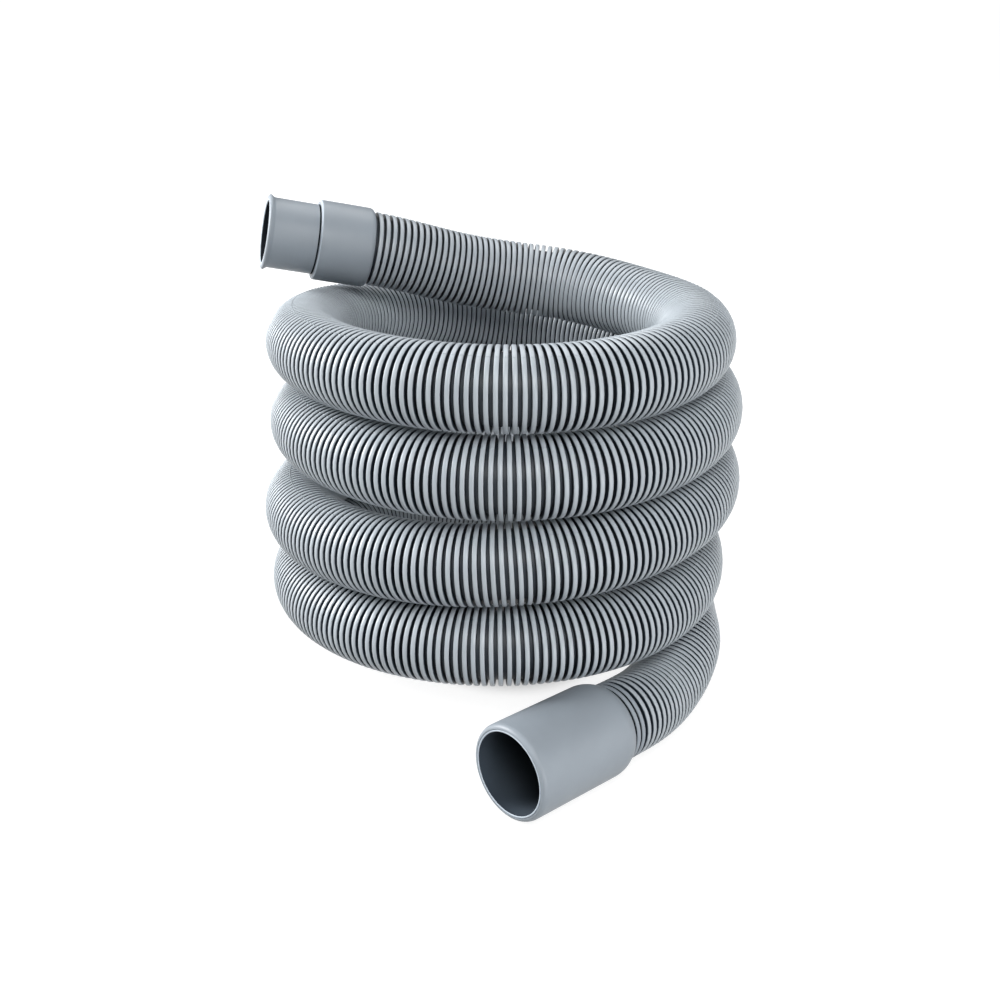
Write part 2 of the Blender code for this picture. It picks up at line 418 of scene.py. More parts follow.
@dataclass(frozen=True)
class HoseRoute:
    """The hose's centreline: two tails and four turns and a bit, as it lies on the floor.

    The points are in mm of the coil's own frame, and the angles in degrees. Each turn has its reach and
    height at the right, its height at the back, its reach and height at the left, and its height in front.
    shift brings the coil, once it is leant and turned, to its place in the part's frame.
    """

    turns: tuple[tuple[float, ...], ...] = (
        (65.3, -64.8, -50.2, 77.7, -41.0, -34.7),
        (64.9, -34.6, -22.3, 79.0, -13.4, -5.2),
        (68.7, -1.4, 5.4, 74.9, 20.0, 24.4),
        (67.6, 26.1, 33.1, 74.6, 48.9, 53.2),
    )
    top_right: tuple[float, float] = (60.8, 53.2)
    front_reach: float = 71.8
    back_reach: float = 81.1
    drain_tail: tuple[tuple[float, ...], ...] = ((48.5, -53.6, -65.6), (63.7, -17.1, -63.8))
    appliance_tail: tuple[tuple[float, ...], ...] = (
        (46.0, 29.8, 53.2), (22.3, 46.2, 55.8), (-20.0, 45.8, 62.3),
    )
    drain: CuffPlace = CuffPlace((-2.9, -106.4, -61.4), 42.8, -2.2, 49.6 * MM)
    appliance: CuffPlace = CuffPlace((-91.9, 28.4, 80.1), 13.7, -11.8, 38.8 * MM)
    lean_y: float = -7.0
    lean_x: float = -4.1
    turn_z: float = -40.6
    shift: tuple[float, float, float] = (-1.28523 * MM, 0.11296 * MM, 69.72893 * MM)
    knot_step: float = 30.0
    fine_step: float = 1.2 * MM
    trial_points: int = 20000

    def turned(self, points: np.ndarray) -> np.ndarray:
        """Turns points or directions from the coil's frame to the way it lies.

        Args:
            points: one row for each, or a single one.

        Returns:
            The same rows, turned.
        """
        lean = Euler((np.radians(self.lean_x), 0, np.radians(self.turn_z))).to_matrix()
        lean = lean @ Euler((0, np.radians(self.lean_y), 0)).to_matrix()
        return np.asarray(points) @ np.array(lean).T

    def placed(self, points: np.ndarray) -> np.ndarray:
        """Points of the coil's frame in metres, as they lie on the floor, in the part's frame."""
        return self.turned(points) + np.array(self.shift)

    def cuff_axis(self, cuff: CuffPlace) -> tuple[np.ndarray, np.ndarray]:
        """A cuff's mouth and its direction into the hose, in the part's frame."""
        return self.placed(np.array(cuff.mouth) * MM), self.turned(cuff.heading())

    def coil_points(self) -> np.ndarray:
        """The coil's centreline, from its lowest right to its top right.

        Returns:
            A point every knot_step degrees, in the coil's frame.
        """
        reach_height = []
        for right, right_height, back_height, left, left_height, front_height in self.turns:
            reach_height += [(right, right_height), (self.back_reach, back_height)]
            reach_height += [(left, left_height), (self.front_reach, front_height)]
        reach_height = np.array(reach_height + [self.top_right]) * MM
        quarters = 90.0 * np.arange(len(reach_height))
        slopes = smooth_slopes(quarters, reach_height)
        angles = np.arange(0, quarters[-1] + 0.5 * self.knot_step, self.knot_step)
        polar, _ = curve_at(quarters, reach_height, slopes, angles)
        angles = np.radians(angles)
        return np.stack([polar[:, 0] * np.cos(angles), polar[:, 0] * np.sin(angles), polar[:, 1]], 1)

    def centreline(self) -> tuple[np.ndarray, np.ndarray]:
        """The hose's whole centreline, evenly stepped, from the drain cuff's end to the other cuff's.

        Returns:
            Its points and its directions.
        """
        drain_mouth, drain_way = self.cuff_axis(self.drain)
        appliance_mouth, appliance_way = self.cuff_axis(self.appliance)
        start = drain_mouth + drain_way * self.drain.length
        end = appliance_mouth + appliance_way * self.appliance.length
        tails = [self.placed(np.array(tail) * MM) for tail in (self.drain_tail, self.appliance_tail)]
        knots = np.concatenate([[start], tails[0], self.placed(self.coil_points()), tails[1], [end]])
        places = np.concatenate([[0], np.cumsum(np.linalg.norm(np.diff(knots, axis=0), axis=1))])
        slopes = smooth_slopes(places, knots, drain_way, -appliance_way)
        dense = np.linspace(0, places[-1], self.trial_points)
        points, _ = curve_at(places, knots, slopes, dense)
        along = np.concatenate([[0], np.cumsum(np.linalg.norm(np.diff(points, axis=0), axis=1))])
        count = round(along[-1] / self.fine_step)
        wanted = np.interp(np.linspace(0, along[-1], count + 1), along, dense)
        return curve_at(places, knots, slopes, wanted)


# Mesh helpers


def ring(centre: np.ndarray, way: np.ndarray, radius: float, sides: int) -> np.ndarray:
    """Points round a centreline, level with the floor at the first one.

    Args:
        centre: the ring's middle.
        way: the centreline's direction there.
        radius: the ring's radius.
        sides: how many points.

    Returns:
        The points, one row each.
    """
    side = Vector(way).cross(Vector((0, 0, 1))).normalized()
    up = side.cross(Vector(way))
    turns = np.linspace(0, 2 * np.pi, sides, endpoint=False)
    return np.array(centre) + radius * (np.outer(np.cos(turns), side) + np.outer(np.sin(turns), up))


def corner(along: float, out: float, reach: float, rise: float, facing: CornerFacing, steps: int) -> Section:
    """A rounded outer corner of a section: a quarter of an ellipse.

    Args:
        along: the ellipse's middle, along the axis.
        out: its middle, out from the axis.
        reach: its half width along the axis.
        rise: its half height out from the axis.
        facing: the end of the cuff that the corner faces.
        steps: how many faces it has.

    Returns:
        The corner's points.
    """
    start, end = (180, 90) if facing is CornerFacing.MOUTH else (90, 0)
    angles = np.radians(np.linspace(start, end, steps + 1))
    return [(along + reach * np.cos(a), out + rise * np.sin(a)) for a in angles]


def link(name: str, data: bpy.types.ID) -> bpy.types.Object:
    """Makes an object and links it to the scene.

    Args:
        name: the object's name.
        data: its mesh, lamp or camera.

    Returns:
        The object.
    """
    piece = bpy.data.objects.new(name, data)
    bpy.context.scene.collection.objects.link(piece)
    return piece


def ringed_piece(name: str, rings: list[np.ndarray], dark: set[int] | None = None) -> bpy.types.Object:
    """One closed piece from rings of points, each joined to the next and the last to the first.

    Args:
        name: the piece's name.
        rings: the rings, outside first, in the order of the section.
        dark: the bands between rings that take the piece's second material, a dark colour of painted shade.

    Returns:
        The piece, linked to the scene.
    """
    sides, count = len(rings[0]), len(rings)
    k = np.arange(sides)
    n = (k + 1) % sides
    bands = [(i * sides, (i + 1) % count * sides) for i in range(count)]
    faces = [np.stack([here + k, after + k, after + n, here + n], 1) for here, after in bands]
    mesh = bpy.data.meshes.new(name)
    mesh.from_pydata(np.concatenate(rings).tolist(), [], np.concatenate(faces).tolist())
    mesh.shade_smooth()
    if dark:
        mesh.polygons.foreach_set("material_index", np.repeat([int(i in dark) for i in range(count)], sides))
    mesh.update()
    return link(name, mesh)


# The ribs


@dataclass(frozen=True)
class RibShape:
    """Sizes of the hose's ribs, of the mould's line across them, and of their unevenness.

    The line's angle and the tilt are in degrees. lead is how far the first and last ribs' middles lie
    from the cuffs.
    """

    crest_radius: float = 13.5 * MM
    root_radius: float = 11.2 * MM
    width: float = 1.56 * MM
    draft: float = 0.03 * MM
    shoulder: float = 0.32 * MM
    pitch: float = 2.42 * MM
    lead: float = 1.75 * MM
    sides: int = 34
    line_width: float = 0.24 * MM
    line_height: float = 0.10 * MM
    line_angle: float = 67.0
    unevenness: float = 0.015 * MM
    tilt: float = 0.15
    seed: int = 7

    def count(self, length: float) -> int:
        """How many ribs a hose of that length has."""
        return round((length - 2 * self.lead) / self.pitch) + 1

    def even_pitch(self, length: float) -> float:
        """The pitch that spaces them evenly over that length."""
        return (length - 2 * self.lead) / (self.count(length) - 1)


class RibTree:
    """The Geometry Nodes that set one closed rib after another along the hose's centreline."""

    INPUTS: dict[str, tuple[str, ...]] = {
        "NodeSocketFloat": (
            "Crest Radius", "Root Radius", "Rib Width", "Draft", "Shoulder", "Pitch", "First Place",
            "Mould Line Width", "Mould Line Height", "Mould Line Angle", "Unevenness", "Tilt",
        ),
        "NodeSocketInt": ("Sides", "First Rib", "Rib Count", "Seed"),
        "NodeSocketMaterial": ("Material",),
    }
    SHOULDER_POINTS: int = 2
    WELD_DISTANCE: float = 0.001 * MM
    LINE_SINK: float = 4.0  # heights of the mould's line that its bar is tall, most of it inside the rib
    LINE_INSET: float = 1.1  # shoulders of a rib by which the bar is shorter than the rib is wide

    def __init__(self) -> None:
        """Builds the tree once, for every stretch of ribs."""
        self.tree = bpy.data.node_groups.new("ribs_along_hose", "GeometryNodeTree")
        self.graph = Graph(self.tree)
        sockets = self.tree.interface
        sockets.new_socket("Centreline", in_out="INPUT", socket_type="NodeSocketGeometry")
        self.identifiers = {
            name: sockets.new_socket(name, in_out="INPUT", socket_type=kind).identifier
            for kind, names in self.INPUTS.items() for name in names
        }
        sockets.new_socket("Ribs", in_out="OUTPUT", socket_type="NodeSocketGeometry")
        self.given = self.graph.add("NodeGroupInput").outputs
        ribs = self._row(self._one_rib())
        self.graph.add("NodeGroupOutput", {"Ribs": ribs})

    def _position(self) -> bpy.types.bpy_prop_collection:
        """Adds the nodes that read a point's place, and returns its three numbers."""
        place = self.graph.add("GeometryNodeInputPosition").outputs[0]
        return self.graph.add("ShaderNodeSeparateXYZ", {0: place}).outputs

    def _rotation(self, turn: Any) -> bpy.types.NodeSocket:
        """Adds the node that makes a rotation of three angles in radians, and returns it."""
        return self.graph.add("FunctionNodeEulerToRotation", {0: turn}).outputs[0]

    def _moved(self, geometry: bpy.types.NodeSocket, **move: Any) -> bpy.types.NodeSocket:
        """Adds a Transform Geometry node and returns the moved geometry."""
        return self.graph.add("GeometryNodeTransform", {"Geometry": geometry, **move}).outputs[0]

    def _stored(self, geometry: bpy.types.NodeSocket, name: str, value: bpy.types.NodeSocket,
                kind: str = "FLOAT", domain: str = "POINT") -> bpy.types.NodeSocket:
        """Adds the node that stores a value on the geometry.

        Args:
            geometry: what it is stored on.
            name: the attribute's name.
            value: the value's socket.
            kind: the attribute's type.
            domain: what each value belongs to.

        Returns:
            The geometry's socket.
        """
        inputs = {"Geometry": geometry, "Name": name, "Value": value}
        kept = self.graph.add("GeometryNodeStoreNamedAttribute", inputs, data_type=kind, domain=domain)
        return kept.outputs[0]

    def _outline(self, depth: bpy.types.NodeSocket) -> bpy.types.NodeSocket:
        """The rib's section: a trapezoid with rounded shoulders, standing up from the root.

        Args:
            depth: how high the rib stands.

        Returns:
            The section's curve.
        """
        graph, given = self.graph, self.given
        foot = graph.maths("ADD", given["Rib Width"], graph.maths("MULTIPLY", given["Draft"], 2.0))
        sizes = {"Bottom Width": foot, "Top Width": given["Rib Width"], "Height": depth, "Offset": 0.0}
        outline = graph.add("GeometryNodeCurvePrimitiveQuadrilateral", sizes, mode="TRAPEZOID").outputs[0]
        top = graph.maths("GREATER_THAN", self._position()[1], 0.0)
        radius = graph.maths("MULTIPLY", top, given["Shoulder"])
        fillet = {"Curve": outline, "Count": self.SHOULDER_POINTS, "Radius": radius}
        rounded = graph.add("GeometryNodeFilletCurve", fillet, mode="POLY").outputs[0]
        return self._moved(rounded, Rotation=self._rotation((0.0, 0.0, -np.pi / 2)))

    def _one_rib(self) -> bpy.types.NodeSocket:
        """One closed rib about the Z axis, with the mould's line across its crest on both sides.

        Returns:
            The rib, with its height above the root stored as rib_height, from 0 to 1.
        """
        graph, given = self.graph, self.given
        depth = graph.maths("SUBTRACT", given["Crest Radius"], given["Root Radius"])
        middle = graph.maths("ADD", given["Root Radius"], graph.maths("MULTIPLY", depth, 0.5))
        middle_line = {"Resolution": given["Sides"], "Radius": middle}
        circle = graph.add("GeometryNodeCurvePrimitiveCircle", middle_line).outputs[0]
        sweep = {"Curve": circle, "Profile Curve": self._outline(depth)}
        swept = graph.add("GeometryNodeCurveToMesh", sweep).outputs[0]
        weld = {"Geometry": swept, "Distance": self.WELD_DISTANCE}
        joined = graph.add("GeometryNodeJoinGeometry")
        graph.tree.links.new(graph.add("GeometryNodeMergeByDistance", weld).outputs[0], joined.inputs[0])
        for half_turn in (0.0, 180.0):
            graph.tree.links.new(self._mould_line(half_turn), joined.inputs[0])
        place = self._position()
        out = graph.from_origin(graph.vector(place[0], place[1], 0.0))
        height = graph.maths("DIVIDE", graph.maths("SUBTRACT", out, given["Root Radius"]), depth)
        return self._stored(joined.outputs[0], "rib_height", height)

    def _mould_line(self, half_turn: float) -> bpy.types.NodeSocket:
        """The fine raised line that the mould's halves leave across the crest.

        Args:
            half_turn: which side of the hose it is on, 0 or 180 degrees.

        Returns:
            A thin bar, mostly sunk in the rib.
        """
        graph, given = self.graph, self.given
        tall = graph.maths("MULTIPLY", given["Mould Line Height"], self.LINE_SINK)
        inset = graph.maths("MULTIPLY", given["Shoulder"], self.LINE_INSET)
        long = graph.maths("SUBTRACT", given["Rib Width"], inset)
        size = graph.vector(tall, given["Mould Line Width"], long)
        bar = graph.add("GeometryNodeMeshCube", {"Size": size}).outputs[0]
        centre = graph.maths("SUBTRACT", given["Crest Radius"], given["Mould Line Height"])
        out = self._moved(bar, Translation=graph.vector(centre, 0.0, 0.0))
        degrees = graph.maths("SUBTRACT", 180.0 + half_turn, given["Mould Line Angle"])
        turn = graph.vector(0.0, 0.0, graph.maths("RADIANS", degrees))
        return self._moved(out, Rotation=self._rotation(turn))

    def _random(self, low: Any, high: Any, number: bpy.types.NodeSocket, draw: int) -> bpy.types.NodeSocket:
        """Adds a random number for each rib.

        Args:
            low: the least that it can be.
            high: the most that it can be.
            number: the rib's number.
            draw: which draw it is, added to the seed.

        Returns:
            The random number's socket.
        """
        seed = self.graph.maths("ADD", self.given["Seed"], draw)
        inputs = {2: low, 3: high, "ID": number, "Seed": seed}
        return self.graph.add("FunctionNodeRandomValue", inputs, data_type="FLOAT").outputs[1]

    def _facing(self, number: bpy.types.NodeSocket) -> bpy.types.NodeSocket:
        """Each rib's rotation: its axis along the hose, and a small random nod.

        Args:
            number: each rib's number.

        Returns:
            The rotation's socket.
        """
        graph, given = self.graph, self.given
        tangent = graph.add("GeometryNodeInputNamedAttribute", {"Name": "way"}, data_type="FLOAT_VECTOR")
        facing = graph.add(
            "FunctionNodeAxesToRotation",
            {"Primary Axis": tangent.outputs[0], "Secondary Axis": (0.0, 0.0, 1.0)},
            primary_axis="Z", secondary_axis="Y",
        )
        most = graph.maths("RADIANS", given["Tilt"])
        least = graph.maths("MULTIPLY", most, -1.0)
        nod = graph.add(
            "FunctionNodeRandomValue",
            {0: graph.vector(least, least, 0.0), 1: graph.vector(most, most, 0.0), "ID": number,
             "Seed": graph.maths("ADD", given["Seed"], 1)},
            data_type="FLOAT_VECTOR",
        )
        turn = {"Rotation": facing.outputs[0], "Rotate By": self._rotation(nod.outputs[0])}
        return graph.add("FunctionNodeRotateRotation", turn, rotation_space="LOCAL").outputs[0]

    def _row(self, rib: bpy.types.NodeSocket) -> bpy.types.NodeSocket:
        """Sets the rib along the centreline, a little unevenly, and gives each one its own tone.

        Args:
            rib: the one rib.

        Returns:
            The whole stretch, realised, smooth and with its material.
        """
        graph, given = self.graph, self.given
        number = graph.maths("ADD", graph.add("GeometryNodeInputIndex").outputs[0], given["First Rib"])
        most = given["Unevenness"]
        slip = self._random(graph.maths("MULTIPLY", most, -1.0), most, number, 0)
        place = graph.maths("ADD", given["First Place"], graph.maths("MULTIPLY", number, given["Pitch"]))
        curve = graph.add("GeometryNodeMeshToCurve", {"Mesh": given["Centreline"]}).outputs[0]
        where = {"Curves": curve, "Length": graph.maths("ADD", place, slip)}
        sampled = graph.add("GeometryNodeSampleCurve", where, mode="LENGTH", use_all_curves=False).outputs
        spots = {"Count": given["Rib Count"], "Position": sampled["Position"]}
        points = graph.add("GeometryNodePoints", spots).outputs[0]
        points = self._stored(points, "way", sampled["Tangent"], kind="FLOAT_VECTOR")
        spread = {"Points": points, "Instance": rib, "Rotation": self._facing(number)}
        placed = graph.add("GeometryNodeInstanceOnPoints", spread).outputs[0]
        toned = self._stored(placed, "rib_tone", self._random(0.0, 1.0, number, 2), domain="INSTANCE")
        bare = graph.add("GeometryNodeRemoveAttribute", {"Geometry": toned, "Name": "way"}).outputs[0]
        whole = graph.add("GeometryNodeRealizeInstances", {"Geometry": bare}).outputs[0]
        smooth = graph.add("GeometryNodeSetShadeSmooth", {"Geometry": whole}).outputs[0]
        dressed = {"Geometry": smooth, "Material": given["Material"]}
        return graph.add("GeometryNodeSetMaterial", dressed).outputs[0]

    def make(self, name: str, centreline: np.ndarray, values: dict[str, Any]) -> bpy.types.Object:
        """Runs the tree along the centreline.

        Args:
            name: the piece's name.
            centreline: points of the centreline.
            values: the tree's inputs, by name.

        Returns:
            A plain mesh piece, linked to the scene.
        """
        line = bpy.data.meshes.new(name + "_line")
        line.from_pydata(centreline.tolist(), [(i, i + 1) for i in range(len(centreline) - 1)], [])
        carrier = link(name + "_line", line)
        modifier = carrier.modifiers.new("ribs", "NODES")
        modifier.node_group = self.tree
        for key, value in values.items():
            modifier[self.identifiers[key]] = value
        depsgraph = bpy.context.evaluated_depsgraph_get()
        mesh = bpy.data.meshes.new_from_object(carrier.evaluated_get(depsgraph), depsgraph=depsgraph)
        carrier.modifiers.remove(modifier)
        bpy.data.objects.remove(carrier)
        bpy.data.meshes.remove(line)
        mesh.name = name
        return link(name, mesh)


# Hose and cuffs


@dataclass(frozen=True)
class NeckFit:
    """The plain neck at each end of the hose, the bore through it, and its gap to the cuff's socket."""

    bore_radius: float = 10.5 * MM
    radius: float = 11.6 * MM
    length: float = 10.0 * MM
    gap: float = 0.3 * MM


@dataclass
class RibbedHose:
    """The hose: its thin wall with a plain neck at each end, and the ribs round it."""

    route: HoseRoute
    finishes: FinishSet
    neck: NeckFit = NeckFit()
    rib: RibShape = RibShape()
    wall_radius: float = 11.35 * MM
    wall_sides: int = 24
    wall_step: float = 3.6 * MM
    stretches: tuple[str, ...] = ("ribs_lower_turns", "ribs_middle_turns", "ribs_upper_turns")
    points: np.ndarray = field(init=False)
    ways: np.ndarray = field(init=False)
    length: float = field(init=False)

    def __post_init__(self) -> None:
        """Works out the centreline and its length."""
        self.points, self.ways = self.route.centreline()
        self.length = float(np.linalg.norm(np.diff(self.points, axis=0), axis=1).sum())

    @property
    def diameter(self) -> float:
        """The hose's outer diameter, over its ribs."""
        return 2 * self.rib.crest_radius

    def build(self) -> list[bpy.types.Object]:
        """The wall first, then each stretch of ribs."""
        return [self._wall(), *self._ribs()]

    def _wall(self) -> bpy.types.Object:
        """The wall between the ribs, bore and all, as one closed tube, in a dark colour of painted shade.

        Returns:
            The tube, from neck to neck.
        """
        neck = self.neck
        every = max(1, round(self.wall_step / self.route.fine_step))
        kept = np.unique(np.append(np.arange(0, len(self.points), every), len(self.points) - 1))
        points, ways = self.points[kept], self.ways[kept]
        first, last = ways[0], ways[-1]
        tips = points[0] - first * neck.length, points[-1] + last * neck.length
        steps = points[0] + first * neck.gap, points[-1] - last * neck.gap
        between = list(zip(points[1:-1], ways[1:-1]))
        outside = [(tips[0], first, neck.radius), (steps[0], first, neck.radius)]
        outside += [(point, way, self.wall_radius) for point, way in between]
        outside += [(steps[1], last, neck.radius), (tips[1], last, neck.radius)]
        inside = [(tips[0], first), *between, (tips[1], last)]
        section = outside + [(point, way, neck.bore_radius) for point, way in inside[::-1]]
        wall = ringed_piece("hose_wall", [ring(*spec, self.wall_sides) for spec in section])
        # the wall's dark colour is painted shade between the ribs and in the bore
        wall.data.materials.append(self.finishes.wall.material())
        return wall

    def _ribs(self) -> list[bpy.types.Object]:
        """The ribs, in stretches of equal count.

        Returns:
            One piece for each stretch.
        """
        tree, rib, total = RibTree(), self.rib, self.rib.count(self.length)
        pitch = rib.even_pitch(self.length)
        values = {
            "Crest Radius": rib.crest_radius, "Root Radius": rib.root_radius, "Rib Width": rib.width,
            "Draft": rib.draft, "Shoulder": rib.shoulder, "Sides": rib.sides, "Pitch": pitch,
            "First Place": rib.lead, "Mould Line Width": rib.line_width, "Mould Line Height": rib.line_height,
            "Mould Line Angle": rib.line_angle, "Unevenness": rib.unevenness, "Tilt": rib.tilt,
            "Seed": rib.seed, "Material": self.finishes.ribs.material(),
        }
        edges = np.linspace(0, total, len(self.stretches) + 1).round().astype(int)
        pieces = []
        for name, first, after in zip(self.stretches, edges[:-1], edges[1:]):
            own = {"First Rib": int(first), "Rib Count": int(after - first)}
            pieces.append(tree.make(name, self.points, values | own))
        LOG.info("ribs: %d, %.3f mm apart", total, pitch / MM)
        return pieces


@dataclass
class Cuff:
    """A moulded cuff, turned about its axis from its section."""

    route: HoseRoute
    finishes: FinishSet
    name: str
    place: CuffPlace
    neck: NeckFit = NeckFit()
    sides: int = 128
    sharp_angle: float = 50.0

    def outside(self) -> Section:
        """The section's outer line, from the bore's edge at the mouth to the hose."""
        raise NotImplementedError

    def inside(self) -> Section:
        """The section's inner line, from the hose back to the mouth."""
        raise NotImplementedError

    def bore_finish(self) -> Plastic:
        """The finish of the bore, whose dark colour is painted shade."""
        return self.finishes.narrow_bore

    def in_groove(self, along: float, out: float) -> bool:
        """Whether a point of the section's outer line lies down in a groove, which is painted dark as shade.
        """
        return False

    def on_painted_highlight(self, along: float, out: float) -> bool:
        """Whether a point of the section lies on a fine moulded edge, which gets a painted highlight."""
        return False

    def socket(self) -> Section:
        """The hose's socket in the cuff's rear end, the same in both cuffs.

        Returns:
            Its points, from the cuff's end to the bore.
        """
        neck, end = self.neck, self.place.length
        floor = end - neck.length - neck.gap
        return [(end, neck.radius + neck.gap), (floor, neck.radius + neck.gap), (floor, neck.bore_radius)]

    def build(self) -> bpy.types.Object:
        """Turns the section into one closed piece, its bore and grooves in a dark colour of painted shade.

        Returns:
            The cuff.
        """
        outside = self.outside()
        section = outside + self.socket() + self.inside()
        mouth, way = self.route.cuff_axis(self.place)
        rings = [ring(mouth + way * along, way, out, self.sides) for along, out in section]
        # grooves take the bore's dark colour as painted shade
        sunk = [self.in_groove(*point) for point in outside]
        dark = {i for i in range(len(outside) - 1) if sunk[i] or sunk[i + 1]}
        cuff = ringed_piece(self.name, rings, dark | set(range(len(outside), len(section))))
        cuff.data.materials.append(self.finishes.cuff.material())
        cuff.data.materials.append(self.bore_finish().material())
        # depth carries the painted light at the bore's mouth, edge the painted highlight on fine edges
        depths = [along / self.place.length for along, _ in section]
        edges = [float(self.on_painted_highlight(*point)) for point in section]
        for name, values in (("depth", depths), ("edge", edges)):
            attribute = cuff.data.attributes.new(name, "FLOAT", "POINT")
            attribute.data.foreach_set("value", np.repeat(values, self.sides))
        cuff.data.set_sharp_from_angle(angle=np.radians(self.sharp_angle))
        return cuff


@dataclass
class DrainCuff(Cuff):
    """The wide cuff for the waste pipe: a lined lip, a plain barrel and a shoulder down to the hose.

    The bead narrows the bore at its very mouth: bead_line has places along the bore, and how much of the
    bead stands there. Behind the shoulder the rear end goes on with rings like the hose's ribs. A ring is
    rounded over ring_round of its height, through points that lie ring_insets in from its flank.
    """

    radius: float = 16.2 * MM
    mouth_radius: float = 14.3 * MM
    bore_depth: float = 31.0 * MM
    bead: float = 0.4 * MM
    bead_line: tuple[tuple[float, float], ...] = ((1.8 * MM, 0.0), (1.2 * MM, 0.3), (0.5 * MM, 0.9))
    bore_rounding: float = 0.2 * MM
    bore_faces: int = 3
    rim: float = 0.5 * MM
    rim_chamfer: float = 0.05 * MM
    groove: float = 0.3 * MM
    groove_width: float = 0.3 * MM
    groove_slope: float = 0.06 * MM
    lip_length: float = 2.1 * MM
    lip_start: float = 0.04 * MM
    lip_faces: int = 9
    barrel_rings: tuple[float, ...] = (0.35, 0.7)
    shoulder_start: float = 38.0 * MM
    shoulder_end: float = 43.9 * MM
    shoulder_radius: float = 14.3 * MM
    shoulder_straightness: float = 0.1
    shoulder_faces: int = 8
    shoulder_foot: tuple[float, float] = (0.15 * MM, 0.25 * MM)
    ring_radius: float = 12.15 * MM
    ring_gap: float = 0.2 * MM
    ring_round: float = 0.3
    ring_insets: tuple[float, float] = (0.02 * MM, 0.12 * MM)
    ring_drop: float = 0.1 * MM
    # how far below the crests the gaps between the rear rings are painted dark as shade
    painted_shade_below: float = 0.5 * MM
    rings: int = 2
    rib: RibShape = RibShape()

    def rim_edge(self) -> float:
        """The radius of the narrowest place of the mouth."""
        return self.mouth_radius - self.bead

    def outside(self) -> Section:
        """The rim round the bore, the fine line beside it, the rounded lip, the barrel, shoulder and rings.

        Returns:
            Their points, from the mouth to the cuff's end.
        """
        edge, soft, end = self.rim_edge(), self.bore_rounding, self.shoulder_end
        rim = edge + self.rim
        line = rim + self.groove_width
        section = corner(soft, edge + soft, soft, -soft, CornerFacing.MOUTH, self.bore_faces)[::-1]
        section += [(0, rim - self.rim_chamfer), (self.rim_chamfer, rim)]
        section += [(self.groove, rim + self.groove_slope), (self.groove, line - self.groove_slope)]
        reach, rise = self.lip_length - self.lip_start, self.radius - line
        section += corner(self.lip_length, line, reach, rise, CornerFacing.MOUTH, self.lip_faces)
        section += [(share * self.shoulder_start, self.radius) for share in self.barrel_rings]
        drop, straight = self.radius - self.shoulder_radius, self.shoulder_straightness
        for step in np.linspace(0, 1, self.shoulder_faces + 1):
            along = self.shoulder_start + step * (end - self.shoulder_start)
            section.append((along, self.radius - drop * (straight * step + (1 - straight) * step**2)))
        foot, sunk = self.shoulder_foot
        section += [(end + foot, self.shoulder_radius - sunk), (end + self.ring_gap, self.ring_radius)]
        return section + self._rear_rings()

    def _rear_rings(self) -> Section:
        """The last rings of the rear end, which go on with the hose's ribs up to the cuff's end.

        Returns:
            Their points.
        """
        rib, end, top, root = self.rib, self.place.length, self.rib.crest_radius, self.ring_radius
        low, high = self.ring_insets
        flank = [(0, root), (0, top - self.ring_round * (top - root)), (low, top - rib.shoulder)]
        flank += [(high, top - self.ring_drop), (rib.shoulder, top)]
        section = []
        for back in range(self.rings, 0, -1):
            middle = end + rib.lead - back * rib.pitch
            left, right = middle - rib.width / 2, min(middle + rib.width / 2, end)
            section += [(left + inset, out) for inset, out in flank]
            section += [(right - inset, out) for inset, out in flank[::-1]]
        return section

    def bore_finish(self) -> Plastic:
        """The finish of the wide bore: painted shade, lightened by painted light towards its mouth."""
        return self.finishes.wide_bore

    def on_painted_highlight(self, along: float, out: float) -> bool:
        """Whether a point lies on the rim round the bore, which gets a painted highlight."""
        return along < self.groove - self.rim_chamfer and out < self.rim_edge() + self.rim + TOUCH

    def in_groove(self, along: float, out: float) -> bool:
        """Whether a point lies between the rear rings."""
        return along > self.shoulder_end and out < self.rib.crest_radius - self.painted_shade_below

    def inside(self) -> Section:
        """The bore: from the hose's bore out over a cone to the wide barrel, and its bead at the mouth.

        Returns:
            Its points, from the hose to the mouth.
        """
        floor = self.place.length - self.neck.length - 3 * self.neck.gap
        section = [(floor, self.neck.bore_radius), (self.bore_depth, self.mouth_radius)]
        section += [(0.5 * self.bore_depth, self.mouth_radius)]
        return section + [(along, self.mouth_radius - share * self.bead) for along, share in self.bead_line]


